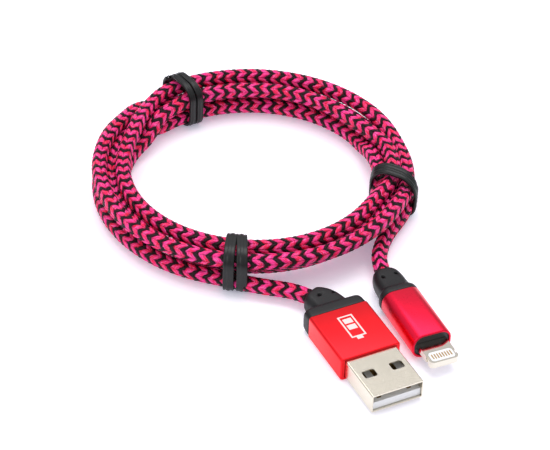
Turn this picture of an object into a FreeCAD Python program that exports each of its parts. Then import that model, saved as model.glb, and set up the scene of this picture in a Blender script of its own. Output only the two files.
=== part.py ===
import FreeCAD, Part
import math
import os

import Sketcher

V = FreeCAD.Vector

# Braided charging cable, wound into a round coil and held by three twist ties.
# Frame: origin at the centre of the coil on the surface it rests on, +Z up, millimetres.
# Each plug is drawn in a frame of its own: +X towards its tip, origin at the middle of its sleeve's mouth.
# "wide" is the flat rectangular power plug, "slim" is the small reversible plug.

SIZES = {
    # cord, coil and ties
    "cord_diameter": 3.6,
    "coil_radius": 32.7,        # middle of the bundle
    "strand_offset": 2.55,      # outer strands from the bundle's middle, each way
    "tie_wall": 0.9,
    "tie_band": 2.3,            # width of one turn of a tie
    "tie_gap": 0.2,             # between the two turns
    "tie_clearance": 0.2,
    "tie_core": 0.45,           # steel wire inside the tie
    # shared clearances
    "slip_clearance": 0.05,
    # wide plug
    "wide_sleeve_length": 14.9,
    "wide_sleeve_width": 14.0,
    "wide_sleeve_height": 5.8,
    "wide_sleeve_wall": 0.6,    # top and bottom
    "wide_sleeve_side": 0.95,   # the walls at the sides
    "wide_sleeve_corner": 0.7,
    "wide_shell_width": 12.0,
    "wide_shell_height": 4.5,
    "wide_shell_sheet": 0.3,
    "wide_shell_reach": 11.8,   # in front of the sleeve
    "wide_shell_hidden": 5.0,   # inside the sleeve
    "wide_shell_corner": 0.35,
    "wide_window_length": 2.3,
    "wide_window_width": 2.9,
    "wide_window_from_mouth": 5.3,
    "wide_window_spacing": 6.4,
    "wide_window_corner": 0.5,
    "wide_tongue_setback": 0.5,
    "wide_tongue_height": 1.9,
    "wide_tongue_root": 4.0,    # full height block at the back of the tongue
    "wide_contact_width": 1.0,
    "wide_contact_sheet": 0.25,
    "wide_contact_tail": 2.0,   # solder tail behind the shell
    "wide_power_pitch": 7.0,
    "wide_data_pitch": 2.0,
    "wide_data_setback": 1.0,
    "wide_flange_length": 3.0,
    "wide_neck_base": 8.2,
    "wide_neck_mouth": 5.8,
    "wide_cavity_width": 9.2,
    "wide_cavity_height": 3.9,
    # slim plug
    "slim_sleeve_length": 15.4,
    "slim_sleeve_width": 9.1,
    "slim_sleeve_height": 6.2,
    "slim_sleeve_wall": 0.5,    # top and bottom
    "slim_sleeve_side": 0.5,    # the walls at the sides
    "slim_sleeve_corner": 2.6,
    "slim_tab_width": 6.7,
    "slim_tab_height": 1.5,
    "slim_tab_reach": 6.3,
    "slim_tab_hidden": 3.0,
    "slim_tab_corner": 1.0,
    "slim_window_length": 2.9,
    "slim_window_width": 5.6,
    "slim_window_rim": 0.4,
    "slim_window_corner": 0.7,
    "slim_notch_length": 0.9,
    "slim_notch_depth": 0.35,
    "slim_contact_length": 1.5,
    "slim_contact_width": 0.33,
    "slim_contact_pitch": 0.6,
    "slim_board_width": 5.0,
    "slim_board_sheet": 0.6,
    "slim_board_tail": 5.5,     # behind the tab frame
    "slim_chip_length": 2.2,
    "slim_chip_width": 2.4,
    "slim_chip_height": 0.7,
    "slim_collar_length": 2.0,
    "slim_collar_setback": 0.4,
    "slim_flange_length": 1.9,
    "slim_neck_base": 7.2,
    "slim_neck_mouth": 5.6,
    "slim_cavity_width": 6.9,
    "slim_cavity_height": 3.5,
    # both plugs
    "mould_back_gap": 0.3,
    "mould_back_wall": 0.9,
    "jacket_diameter": 2.6,
    "crimp_wall": 0.35,
    "crimp_length": 0.8,
    "jacket_length": 2.6,
    "wire_diameter": 0.7,
    "neck_height": 4.9,
    "relief_hole": 0.9,
    "relief_depth": 0.5,
    "relief_setback": 2.9,
    "relief_spacing": 3.3,
}

# Where the plugs lie on the surface: mouth of the sleeve, and the way the tip points.
WIDE_MOUTH = (26.54, -60.70)
WIDE_HEADING = -62.65
SLIM_MOUTH = (39.60, -54.70)
SLIM_HEADING = -65.70
# The ties' places round the coil, in degrees from +X.
TIES = {"front_tie": -95.0, "side_tie": -7.0, "rear_tie": 119.5}

# Routes of the free cord, chosen by hand. Outside points are in the part's frame, x, y and z;
# inside points are in the plug's frame, x and y, at the middle of its height.
WIDE_OUTSIDE = [
    (0.30, -36.75, 2.80),
    (4.80, -37.70, 2.80),
    (8.99, -38.43, 2.85),
    (12.35, -39.72, 2.90),
]
WIDE_INSIDE = [(-21.20, -0.815), (-18.00, 0.0)]
WIDE_BOOT_MOUTH = (-23.39, -2.01)
SLIM_OUTSIDE = [
    (35.30, -7.60, 2.80),
    (33.50, -12.20, 2.80),
    (31.20, -16.60, 2.80),
    (29.60, -21.20, 2.80),
    (28.80, -25.80, 2.85),
    (29.29, -30.24, 3.00),
]
SLIM_INSIDE = [(-21.60, 0.0)]
SLIM_BOOT_MOUTH = (-24.07, 0.335)

doc = FreeCAD.newDocument("charging_cable")


# ---------------------------------------------------------------- sheet and helpers

def make_sheet():
    sheet = doc.addObject("Spreadsheet::Sheet", "sizes")
    for row, (name, value) in enumerate(SIZES.items(), start=1):
        sheet.set(f"A{row}", name)
        sheet.set(f"B{row}", str(value))
        sheet.setAlias(f"B{row}", name)
    doc.recompute()
    return sheet


sheet = make_sheet()


def size(name):
    return float(getattr(sheet, name))


def lay(mouth, heading, height):
    """A plug's placement, resting on the surface with its middle at half its height."""
    turn = FreeCAD.Rotation(V(0, 0, 1), heading)
    return FreeCAD.Placement(V(mouth[0], mouth[1], height / 2), turn)


def bind(thing, **sizes):
    for name, rule in sizes.items():
        thing.setExpression(name.replace("__", "."), rule)
    return thing


def move(thing, x="0", y="0", z="0"):
    return bind(thing, Placement__Base__x=x, Placement__Base__y=y, Placement__Base__z=z)


def block(name, start, length, width, height, side="0", up="0"):
    """A plain block along +X from start, centred on side and up."""
    thing = doc.addObject("Part::Box", name)
    bind(thing, Length=length, Width=width, Height=height)
    return move(thing, start, f"({side}) - ({width}) / 2", f"({up}) - ({height}) / 2")


def rod(name, start, length, radius, side="0", up="0"):
    """A round rod along +X from start."""
    thing = doc.addObject("Part::Cylinder", name)
    bind(thing, Height=length, Radius=radius)
    thing.Placement = FreeCAD.Placement(V(), FreeCAD.Rotation(V(0, 1, 0), 90))
    return move(thing, start, side, up)


def cut(name, base, *tools):
    """base less each of the tools, as one document object."""
    for number, tool in enumerate(tools):
        last = number == len(tools) - 1
        step = doc.addObject("Part::Cut", name if last else f"{name}_cut_{number + 1}")
        step.Base = base
        step.Tool = tool
        base = step
    return base


def origin_plane(body, role):
    """One of the planes or axes of a body's own origin."""
    return next(f for f in body.Origin.OriginFeatures if f.Role == role)


def new_body(name):
    body = doc.addObject("PartDesign::Body", name)
    body.Label = name
    return body


def rectangle(body, name, role, offset, wide, high, shift_x="0", shift_y="0"):
    """A rectangle centred on its sketch's origin, in a plane parallel to an origin plane."""
    sketch = body.newObject("Sketcher::SketchObject", name)
    sketch.AttachmentSupport = [(origin_plane(body, role), "")]
    sketch.MapMode = "FlatFace"
    corners = [V(-1, -1, 0), V(1, -1, 0), V(1, 1, 0), V(-1, 1, 0)]
    for number in range(4):
        sketch.addGeometry(Part.LineSegment(corners[number], corners[(number + 1) % 4]))
    for number in range(4):
        sketch.addConstraint(Sketcher.Constraint("Coincident", number, 2, (number + 1) % 4, 1))
    for number in (0, 2):
        sketch.addConstraint(Sketcher.Constraint("Horizontal", number))
        sketch.addConstraint(Sketcher.Constraint("Vertical", number + 1))
    sketch.addConstraint(Sketcher.Constraint("Symmetric", 0, 1, 2, 1, -1, 1))
    across = sketch.addConstraint(Sketcher.Constraint("DistanceX", 0, 1, 0, 2, 2.0))
    along = sketch.addConstraint(Sketcher.Constraint("DistanceY", 1, 1, 1, 2, 2.0))
    sketch.renameConstraint(across, "wide")
    sketch.renameConstraint(along, "high")
    bind(sketch, Constraints__wide=wide, Constraints__high=high)
    bind(sketch, AttachmentOffset__Base__x=shift_x, AttachmentOffset__Base__y=shift_y)
    bind(sketch, AttachmentOffset__Base__z=offset)
    return sketch


def pad(body, name, sketch, length):
    feature = body.newObject("PartDesign::Pad", name)
    feature.Profile = sketch
    sketch.Visibility = False
    return bind(feature, Length=length)


def pocket(body, name, sketch, length):
    """Cuts along the sketch's normal, and makes sure that it has cut something."""
    doc.recompute()
    before = body.Tip.Shape.Volume
    feature = body.newObject("PartDesign::Pocket", name)
    feature.Profile = sketch
    feature.Reversed = True
    bind(feature, Length=length)
    doc.recompute()
    if feature.Shape.Volume > before - 1e-4:
        raise RuntimeError(f"{name} cut nothing")
    return feature


def bar(body, name, start, length, wide, high, side="0", up="0"):
    """A rectangular bar along +X."""
    sketch = rectangle(body, f"{name}_profile", "YZ_Plane", start, wide, high, side, up)
    return pad(body, name, sketch, length)


def solid_bar(name, start, length, wide, high, side="0", up="0"):
    """A plain rectangular bar along +X, as a body of its own."""
    body = new_body(name)
    bar(body, f"{name}_bar", start, length, wide, high, side, up)
    return body


def solid_rod(name, start, length, radius):
    """A plain round bar along +X, as a body of its own."""
    body = new_body(name)
    feature = body.newObject("PartDesign::AdditiveCylinder", f"{name}_rod")
    feature.AttachmentSupport = [(origin_plane(body, "YZ_Plane"), "")]
    feature.MapMode = "FlatFace"
    bind(feature, Radius=radius, Height=length, AttachmentOffset__Base__z=start)
    return body


def slot(body, name, start, length, wide, high, side="0", up="0"):
    """A rectangular hole along +X."""
    sketch = rectangle(body, f"{name}_profile", "YZ_Plane", start, wide, high, side, up)
    return pocket(body, name, sketch, length)


def window(body, name, low, depth, long, wide, ahead, side="0"):
    """A rectangular hole upwards from low."""
    sketch = rectangle(body, f"{name}_profile", "XY_Plane", low, long, wide, ahead, side)
    return pocket(body, name, sketch, depth)


def round_edges(body, name, radius, wanted):
    """A fillet on each straight edge that wanted(direction, middle) picks."""
    doc.recompute()
    solid = body.Tip.Shape
    picked = []
    for number, edge in enumerate(solid.Edges, start=1):
        if edge.Curve.TypeId != "Part::GeomLine":
            continue
        if wanted(edge.Curve.Direction, edge.CenterOfMass):
            picked.append(f"Edge{number}")
    feature = body.newObject("PartDesign::Fillet", name)
    feature.Base = (body.Tip if body.Tip != feature else feature.BaseFeature, picked)
    return bind(feature, Radius=radius)


def lengthwise(direction, middle):
    return abs(direction.x) > 0.99


def upright(direction, middle):
    return abs(direction.z) > 0.99


# ---------------------------------------------------------------- the cord

def corner_arc(before, corner, after):
    """The tangent arc at a corner of a route: as large as its two runs allow."""
    back, ahead = before - corner, after - corner
    reach = 0.45 * min(back.Length, ahead.Length)
    half_turn = (math.pi - back.getAngle(ahead)) / 2
    radius = reach / math.tan(half_turn)
    start = corner + back.normalize() * reach
    end = corner + ahead.normalize() * reach
    middle_way = (start + end) * 0.5 - corner
    depth = radius / math.cos(half_turn) - radius
    middle = corner + middle_way.normalize() * depth
    return start, middle, end, radius


def route_edges(points):
    """Straight runs joined by tangent arcs, and the arcs' radii."""
    edges, radii = [], []
    here = points[0]
    for before, corner, after in zip(points, points[1:], points[2:]):
        start, middle, end, radius = corner_arc(before, corner, after)
        edges.append(Part.LineSegment(here, start).toShape())
        edges.append(Part.Arc(start, middle, end).toShape())
        radii.append(radius)
        here = end
    edges.append(Part.LineSegment(here, points[-1]).toShape())
    return edges, radii


def split_edges(edges, run, place):
    """The route cut in two at a place on one of its straight runs."""
    line = edges[run]
    first, last = (v.Point for v in line.Vertexes)
    head = edges[:run] + [Part.LineSegment(first, place).toShape()]
    tail = [Part.LineSegment(place, last).toShape()] + edges[run + 1:]
    return head, tail


def pipe(edges, diameter):
    """A round solid along the edges."""
    path = Part.Wire(edges)
    start = path.Edges[0]
    way = start.tangentAt(start.FirstParameter)
    circle = Part.Circle(start.valueAt(start.FirstParameter), way, diameter / 2)
    return path.makePipeShell([Part.Wire([circle.toShape()])], True, False)


def feature(name, shape):
    thing = doc.addObject("Part::Feature", name)
    thing.Shape = shape
    return thing


def tube(name, edges, diameter):
    """A round tube along the edges, as a document object, with its volume checked."""
    solid = pipe(edges, diameter)
    length = sum(edge.Length for edge in edges)
    share = solid.Volume / (math.pi * diameter ** 2 / 4 * length)
    print(f"{name}: {length:.1f} mm long, volume {share:.4f} of section x length")
    return feature(name, solid)


def cord_route(prefix, outside, inside_points, boot_mouth, place):
    """Edges of the free stretch outside the boot, and of the tail moulded into it."""
    points = [V(*p) for p in outside]
    points += [place.multVec(V(x, y, 0)) for x, y in inside_points]
    points.append(place.multVec(V(-size(f"{prefix}_sleeve_length"), 0, 0)))
    edges, radii = route_edges(points)
    print(f"{prefix} cord radii:", ", ".join(f"{r:.1f}" for r in radii))
    run = 2 * (len(outside) - 1)
    first, last = (v.Point for v in edges[run].Vertexes)
    way = (last - first).normalize()
    mouth = place.multVec(V(boot_mouth[0], boot_mouth[1], 0))
    mouth = first + way * (mouth - first).dot(way)
    return split_edges(edges, run, mouth)


def make_coil(leads):
    """The bundle of turns: four strands at the corners of a square and one in its middle.
    It ends face to face with the two leads that peel off its lower outside edge."""
    body = new_body("cord_coil_body")
    side = "(2 * sizes.strand_offset + sizes.cord_diameter)"
    height = f"sizes.tie_wall + {side} / 2"
    sketch = rectangle(body, "bundle", "XZ_Plane", "0", side, side, "sizes.coil_radius", height)
    ring = body.newObject("PartDesign::Revolution", "coil_ring")
    ring.Profile = sketch
    ring.ReferenceAxis = (origin_plane(body, "Z_Axis"), [""])
    ring.Angle = 360
    doc.recompute()
    sketch.Visibility = False
    rounds = body.newObject("PartDesign::Fillet", "coil_rounds")
    names = [f"Edge{n}" for n, e in enumerate(ring.Shape.Edges, 1) if e.Curve.TypeId == "Part::GeomCircle"]
    rounds.Base = (ring, names)
    bind(rounds, Radius="sizes.cord_diameter / 2")
    doc.recompute()
    seats = [feature(f"lead_seat_{number}", lead.Shape.copy()) for number, lead in enumerate(leads, start=1)]
    return cut("cord_coil", body, *seats)


# ---------------------------------------------------------------- ties

def rounded_bar(name, start, length, wide, high, corner, up="0"):
    """A bar along +X with rounded lengthwise edges, as a body."""
    body = new_body(name)
    bar(body, f"{name}_bar", start, length, wide, high, "0", up)
    round_edges(body, f"{name}_rounds", corner, lengthwise)
    return body


def wire_turn(x):
    """One turn of a tie's wire round the bundle, in the middle of the tie's wall."""
    middle = size("tie_wall") / 2
    bundle = size("strand_offset") + size("cord_diameter") / 2
    corner = size("cord_diameter") / 2 + middle
    side = bundle + size("tie_clearance") + middle - corner
    low = corner - bundle - middle
    high = bundle + size("tie_clearance") + middle - corner
    centres = [V(x, side, high), V(x, -side, high), V(x, -side, low), V(x, side, low)]
    edges = []
    for number, centre in enumerate(centres):
        end = math.radians(90 * number + 90)
        out = V(0, math.cos(end), math.sin(end)) * corner
        start = math.radians(90 * number)
        back = V(0, math.cos(start), math.sin(start)) * corner
        half = (back + out).normalize() * corner
        edges.append(Part.Arc(centre + back, centre + half, centre + out).toShape())
        edges.append(Part.LineSegment(centre + out, centres[(number + 1) % 4] + out).toShape())
    return pipe(edges, size("tie_core"))


def make_tie(name, degrees):
    """A plastic strap with a steel wire inside, wound twice round the bundle."""
    bundle = "(2 * sizes.strand_offset + sizes.cord_diameter)"
    length = "(2 * sizes.tie_band + sizes.tie_gap)"
    start = f"-{length} / 2"
    wide = f"({bundle} + 2 * sizes.tie_clearance)"
    high = f"({bundle} + sizes.tie_clearance)"
    lift = "sizes.tie_clearance / 2"
    corner = "sizes.cord_diameter / 2"
    outside = rounded_bar(f"{name}_outside", start, length, f"{wide} + 2 * sizes.tie_wall",
                          f"{high} + 2 * sizes.tie_wall", f"{corner} + sizes.tie_wall", lift)
    hole = rounded_bar(f"{name}_hole", start, length, wide, high, corner, lift)
    rim = block(f"{name}_groove_rim", "-sizes.tie_gap / 2", "sizes.tie_gap",
                f"{wide} + 2 * sizes.tie_wall + 1", f"{high} + 2 * sizes.tie_wall + 1", "0", lift)
    floor = rounded_bar(f"{name}_groove_floor", start, length, f"{wide} + 0.8 * sizes.tie_wall",
                        f"{high} + 0.8 * sizes.tie_wall", f"{corner} + 0.4 * sizes.tie_wall", lift)
    groove = cut(f"{name}_groove", rim, floor)
    pitch = (size("tie_band") + size("tie_gap")) / 2
    seat = feature(f"{name}_wire_seat", Part.makeCompound([wire_turn(-pitch), wire_turn(pitch)]))
    strap = cut(name, outside, hole, groove, seat)
    wire = feature(f"{name}_wire", Part.makeCompound([wire_turn(-pitch), wire_turn(pitch)]))
    around = FreeCAD.Rotation(V(0, 0, 1), degrees)
    middle = size("tie_wall") + size("strand_offset") + size("cord_diameter") / 2
    centre = around.multVec(V(size("coil_radius"), 0, 0)) + V(0, 0, middle)
    place = FreeCAD.Placement(centre, FreeCAD.Rotation(V(0, 0, 1), degrees + 90))
    return [(name, strap, place), (f"{name}_wire", wire, place)]


# ---------------------------------------------------------------- pieces both plugs have

def make_boot(prefix, mouth, turn, corner, cord_edges, place):
    """The soft moulding behind a sleeve: an end cap as wide as the sleeve, and a bent neck."""
    body = new_body(f"{prefix}_plug_moulding")
    back = f"(-sizes.{prefix}_sleeve_length - sizes.{prefix}_flange_length)"
    bar(body, f"{prefix}_flange", back, f"sizes.{prefix}_flange_length",
        f"sizes.{prefix}_sleeve_width", f"sizes.{prefix}_sleeve_height")
    round_edges(body, f"{prefix}_flange_rounds", corner, lengthwise)
    doc.recompute()
    base = rectangle(body, f"{prefix}_neck_base", "YZ_Plane", f"{back} + 0.4",
                     f"sizes.{prefix}_neck_base", "sizes.neck_height")
    end = rectangle(body, f"{prefix}_neck_end", "YZ_Plane", "0",
                    f"sizes.{prefix}_neck_mouth", "sizes.neck_height")
    for way in "xyz":
        end.setExpression(f"AttachmentOffset.Base.{way}", None)
    end.AttachmentOffset = FreeCAD.Placement(V(mouth[1], 0, mouth[0]),
                                             FreeCAD.Rotation(V(0, 1, 0), turn))
    neck = body.newObject("PartDesign::AdditiveLoft", f"{prefix}_neck")
    neck.Profile = base
    neck.Sections = [end]
    neck.Ruled = True
    doc.recompute()
    holes = []
    for number, side in enumerate((-0.5, 0.5), start=1):
        hole = doc.addObject("Part::Cylinder", f"{prefix}_relief_hole_{number}")
        bind(hole, Radius="sizes.relief_hole / 2", Height="sizes.relief_depth")
        move(hole, f"{back} - sizes.relief_setback", f"{side} * sizes.relief_spacing + {mouth[1] / 2}",
             "sizes.neck_height / 2 - sizes.relief_depth")
        holes.append(hole)
    inverse = place.inverse().toMatrix()
    seat = feature(f"{prefix}_cord_seat", pipe(cord_edges, size("cord_diameter")).transformed(inverse))
    return cut(f"{prefix}_plug_boot", body, *holes, seat)


def make_moulding(prefix, front):
    """The hard inner moulding: it fills the sleeve behind the metal, round a space for the wires."""
    body = new_body(f"{prefix}_inner_mould_body")
    start = f"(sizes.mould_back_gap - sizes.{prefix}_sleeve_length)"
    length = f"({front} - {start})"
    slack = "2 * sizes.slip_clearance"
    wide = f"sizes.{prefix}_sleeve_width - 2 * sizes.{prefix}_sleeve_side - {slack}"
    high = f"sizes.{prefix}_sleeve_height - 2 * sizes.{prefix}_sleeve_wall - {slack}"
    bar(body, f"{prefix}_mould", start, length, wide, high)
    corner = f"sizes.{prefix}_sleeve_corner - sizes.{prefix}_sleeve_wall"
    round_edges(body, f"{prefix}_mould_rounds", corner, lengthwise)
    doc.recompute()
    slot(body, f"{prefix}_wire_space", f"{start} + sizes.mould_back_wall",
         f"{length} - sizes.mould_back_wall",
         f"sizes.{prefix}_cavity_width", f"sizes.{prefix}_cavity_height")
    hole = rod(f"{prefix}_jacket_hole", f"{start} - 1", "sizes.mould_back_wall + 2",
               "sizes.jacket_diameter / 2 + sizes.slip_clearance")
    return cut(f"{prefix}_plug_inner_mould", body, hole)


def make_cord_end(prefix):
    """The end of the inner jacket and the crimped ring on it."""
    start = f"-sizes.{prefix}_sleeve_length"
    ring_start = f"{start} + sizes.mould_back_gap + sizes.mould_back_wall + 0.1"
    jacket = solid_rod(f"{prefix}_plug_jacket_end", start, "sizes.jacket_length",
                       "sizes.jacket_diameter / 2")
    outer = rod(f"{prefix}_crimp_outside", ring_start, "sizes.crimp_length",
                "sizes.jacket_diameter / 2 + sizes.crimp_wall")
    inner = rod(f"{prefix}_crimp_inside", f"{ring_start} - 1", "sizes.crimp_length + 2",
                "sizes.jacket_diameter / 2")
    return jacket, cut(f"{prefix}_plug_crimp_ring", outer, inner)


def make_wire(name, from_x, from_y, from_z, to_x, to_y, to_z):
    """One insulated wire: out of the jacket, across, and on to what it is soldered to."""
    points = [V(from_x, from_y, from_z), V(from_x + 0.25 * (to_x - from_x), from_y, from_z),
              V(from_x + 0.5 * (to_x - from_x), to_y, to_z), V(to_x, to_y, to_z)]
    edges, radii = route_edges(points)
    print(f"{name} radii:", ", ".join(f"{r:.1f}" for r in radii))
    return tube(name, edges, size("wire_diameter"))


def make_sleeve(prefix):
    """The tube of coloured metal over the back of the plug."""
    start = f"-sizes.{prefix}_sleeve_length"
    length = f"sizes.{prefix}_sleeve_length"
    wide = f"sizes.{prefix}_sleeve_width"
    high = f"sizes.{prefix}_sleeve_height"
    wall = f"sizes.{prefix}_sleeve_wall"
    side = f"sizes.{prefix}_sleeve_side"
    corner = f"sizes.{prefix}_sleeve_corner"
    outside = rounded_bar(f"{prefix}_sleeve_outside", start, length, wide, high, corner)
    bore = rounded_bar(f"{prefix}_sleeve_bore", f"{start} - 1", f"{length} + 2", f"{wide} - 2 * {side}",
                       f"{high} - 2 * {wall}", f"{corner} - {wall}")
    return cut(f"{prefix}_plug_sleeve", outside, bore)


# ---------------------------------------------------------------- wide plug

WIDE_LINES = {
    "power": (-0.5, "wide_power_pitch", "0"),
    "data_minus": (-0.5, "wide_data_pitch", "sizes.wide_data_setback"),
    "data_plus": (0.5, "wide_data_pitch", "sizes.wide_data_setback"),
    "ground": (0.5, "wide_power_pitch", "0"),
}


def wide_contact_sizes(line):
    """Start, length, side and height of one contact strip, flush with the tongue's top."""
    share, pitch, setback = WIDE_LINES[line]
    start = "(-sizes.wide_shell_hidden - sizes.wide_contact_tail)"
    end = f"(sizes.wide_shell_reach - sizes.wide_tongue_setback - 0.9 - {setback})"
    top = "(sizes.wide_shell_sheet - sizes.wide_shell_height / 2 + sizes.wide_tongue_height)"
    return start, f"{end} - {start}", f"{share} * sizes.{pitch}", f"{top} - sizes.wide_contact_sheet / 2"


def make_wide_shell():
    body = new_body("wide_plug_shell")
    start = "-sizes.wide_shell_hidden"
    length = "(sizes.wide_shell_hidden + sizes.wide_shell_reach)"
    bar(body, "wide_shell_outside", start, length, "sizes.wide_shell_width", "sizes.wide_shell_height")
    round_edges(body, "wide_shell_rounds", "sizes.wide_shell_corner", lengthwise)
    doc.recompute()
    slot(body, "wide_shell_inside", start, length, "sizes.wide_shell_width - 2 * sizes.wide_shell_sheet",
         "sizes.wide_shell_height - 2 * sizes.wide_shell_sheet")
    for number, share in enumerate((-0.5, 0.5), start=1):
        window(body, f"wide_window_{number}", "-sizes.wide_shell_height", "2 * sizes.wide_shell_height",
               "sizes.wide_window_length", "sizes.wide_window_width", "sizes.wide_window_from_mouth",
               f"{share} * sizes.wide_window_spacing")
    back, front = -size("wide_shell_hidden"), size("wide_shell_reach")
    round_edges(body, "wide_window_rounds", "sizes.wide_window_corner",
                lambda way, middle: upright(way, middle) and back + 0.1 < middle.x < front - 0.1)
    return body


def make_wide_tongue():
    """The moulded tongue: a block that closes the back of the shell and carries the contacts."""
    body = new_body("wide_plug_tongue")
    slack = "2 * sizes.slip_clearance"
    wide = f"(sizes.wide_shell_width - 2 * sizes.wide_shell_sheet - {slack})"
    high = f"(sizes.wide_shell_height - 2 * sizes.wide_shell_sheet - {slack})"
    bottom = "(sizes.wide_shell_sheet - sizes.wide_shell_height / 2 + sizes.slip_clearance)"
    thin = "(sizes.wide_tongue_height - sizes.slip_clearance)"
    reach = "sizes.wide_shell_hidden + sizes.wide_shell_reach - sizes.wide_tongue_setback"
    bar(body, "wide_tongue_block", "-sizes.wide_shell_hidden", "sizes.wide_tongue_root", wide, high)
    bar(body, "wide_tongue_blade", "-sizes.wide_shell_hidden", reach, wide, thin, "0",
        f"{bottom} + {thin} / 2")
    for line in WIDE_LINES:
        start, length, side, up = wide_contact_sizes(line)
        slot(body, f"wide_groove_{line}", "-sizes.wide_shell_hidden", f"{length} - sizes.wide_contact_tail",
             "sizes.wide_contact_width", "sizes.wide_contact_sheet", side, up)
    return body


def make_wide_plug():
    place = lay(WIDE_MOUTH, WIDE_HEADING, size("wide_sleeve_height"))
    lead, tail = cord_route("wide", WIDE_OUTSIDE, WIDE_INSIDE, WIDE_BOOT_MOUTH, place)
    print("wide lead ends at", [round(c, 2) for c in tail[0].Vertexes[0].Point])
    boot = make_boot("wide", WIDE_BOOT_MOUTH, 22, "1.6", [lead[-1]] + tail, place)
    jacket, crimp = make_cord_end("wide")
    nodes = [
        ("wide_plug_sleeve", make_sleeve("wide")),
        ("wide_plug_boot", boot),
        ("wide_plug_shell", make_wide_shell()),
        ("wide_plug_tongue", make_wide_tongue()),
        ("wide_plug_inner_mould", make_moulding("wide", "(-sizes.wide_shell_hidden - 0.1)")),
        ("wide_plug_crimp_ring", crimp),
        ("wide_plug_jacket_end", jacket),
    ]
    for line in WIDE_LINES:
        start, length, side, up = wide_contact_sizes(line)
        strip = solid_bar(f"wide_plug_contact_{line}", start, length, "sizes.wide_contact_width",
                          "sizes.wide_contact_sheet", side, up)
        nodes.append((strip.Name, strip))
    radius = size("wire_diameter") / 2
    top = size("wide_shell_sheet") - size("wide_shell_height") / 2 + size("wide_tongue_height")
    from_x = size("jacket_length") - size("wide_sleeve_length")
    to_x = -size("wide_shell_hidden") - 0.3
    for line, (y, z) in zip(WIDE_LINES, ((-0.45, 0.5), (-0.45, -0.4), (0.45, -0.4), (0.45, 0.5))):
        share, pitch, _ = WIDE_LINES[line]
        wire = make_wire(f"wide_plug_wire_{line}", from_x, y, z, to_x, share * size(pitch), top + radius)
        nodes.append((wire.Name, wire))
    placed = [(name, thing, place) for name, thing in nodes]
    here = FreeCAD.Placement()
    placed.append(("wide_plug_lead", tube("wide_plug_lead", lead, size("cord_diameter")), here))
    placed.append(("wide_plug_cord_tail", tube("wide_plug_cord_tail", tail, size("cord_diameter")), here))
    return placed


# ---------------------------------------------------------------- slim plug

def make_slim_frame():
    """The steel tab: rounded at its tip, open where the contacts are, slotted for the board."""
    body = new_body("slim_plug_frame")
    start = "-sizes.slim_tab_hidden"
    length = "(sizes.slim_tab_hidden + sizes.slim_tab_reach)"
    bar(body, "slim_tab", start, length, "sizes.slim_tab_width", "sizes.slim_tab_height")
    reach = size("slim_tab_reach")
    round_edges(body, "slim_tip_rounds", "sizes.slim_tab_corner",
                lambda way, middle: abs(way.z) > 0.99 and middle.x > reach - 0.01)
    doc.recompute()
    middle = "(sizes.slim_tab_reach - sizes.slim_window_rim - sizes.slim_window_length / 2)"
    window(body, "slim_window", "-sizes.slim_tab_height", "2 * sizes.slim_tab_height",
           "sizes.slim_window_length", "sizes.slim_window_width", middle)
    half = size("slim_window_width") / 2 + 0.01
    round_edges(body, "slim_window_rounds", "sizes.slim_window_corner",
                lambda way, middle: upright(way, middle) and abs(middle.y) < half
                and 0 < middle.x < reach - 0.1)
    doc.recompute()
    back = f"{middle} - sizes.slim_window_length / 2"
    slot(body, "slim_board_slot", start, f"{back} - ({start}) + 0.1",
         "sizes.slim_board_width + 2 * sizes.slip_clearance",
         "sizes.slim_board_sheet + 2 * sizes.slip_clearance")
    for number, share in enumerate((-0.5, 0.5), start=1):
        window(body, f"slim_notch_{number}", "-sizes.slim_tab_height", "2 * sizes.slim_tab_height",
               "sizes.slim_notch_length", "2 * sizes.slim_notch_depth", middle,
               f"{share} * sizes.slim_tab_width")
    return body


def contact_group(name, side_up):
    """Eight flat contacts in a row, as one group of separate solids."""
    middle = "(sizes.slim_tab_reach - sizes.slim_window_rim - sizes.slim_window_length / 2)"
    up = f"{side_up} * (sizes.slim_tab_height / 2 - 0.1)"
    strips = []
    for number in range(8):
        side = f"{number - 3.5} * sizes.slim_contact_pitch"
        strips.append(block(f"{name}_{number + 1}", f"{middle} - sizes.slim_contact_length / 2",
                            "sizes.slim_contact_length", "sizes.slim_contact_width", "0.2", side, up))
    group = doc.addObject("Part::Compound", name)
    group.Links = strips
    return group


def make_contact_block():
    """The white moulding that fills the tab's window and holds the contacts."""
    body = new_body("slim_contact_block_body")
    middle = "(sizes.slim_tab_reach - sizes.slim_window_rim - sizes.slim_window_length / 2)"
    length = "(sizes.slim_window_length - 2 * sizes.slip_clearance)"
    bar(body, "slim_block", f"{middle} - {length} / 2", length,
        "sizes.slim_window_width - 2 * sizes.slip_clearance", "sizes.slim_tab_height")
    round_edges(body, "slim_block_rounds", "sizes.slim_window_corner", upright)
    top = contact_group("slim_contact_seats_top", 1)
    bottom = contact_group("slim_contact_seats_bottom", -1)
    return cut("slim_plug_contact_block", body, top, bottom)


def make_collar():
    """The black ring just inside the sleeve's mouth, round the root of the tab."""
    body = new_body("slim_plug_collar")
    start = "(-sizes.slim_collar_setback - sizes.slim_collar_length)"
    slack = "2 * sizes.slip_clearance"
    bar(body, "slim_collar_outside", start, "sizes.slim_collar_length",
        f"sizes.slim_sleeve_width - 2 * sizes.slim_sleeve_side - {slack}",
        f"sizes.slim_sleeve_height - 2 * sizes.slim_sleeve_wall - {slack}")
    round_edges(body, "slim_collar_rounds", "sizes.slim_sleeve_corner - sizes.slim_sleeve_wall", lengthwise)
    doc.recompute()
    slot(body, "slim_collar_slot", start, "sizes.slim_collar_length",
         f"sizes.slim_tab_width + {slack}", f"sizes.slim_tab_height + {slack}")
    return body


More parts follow.
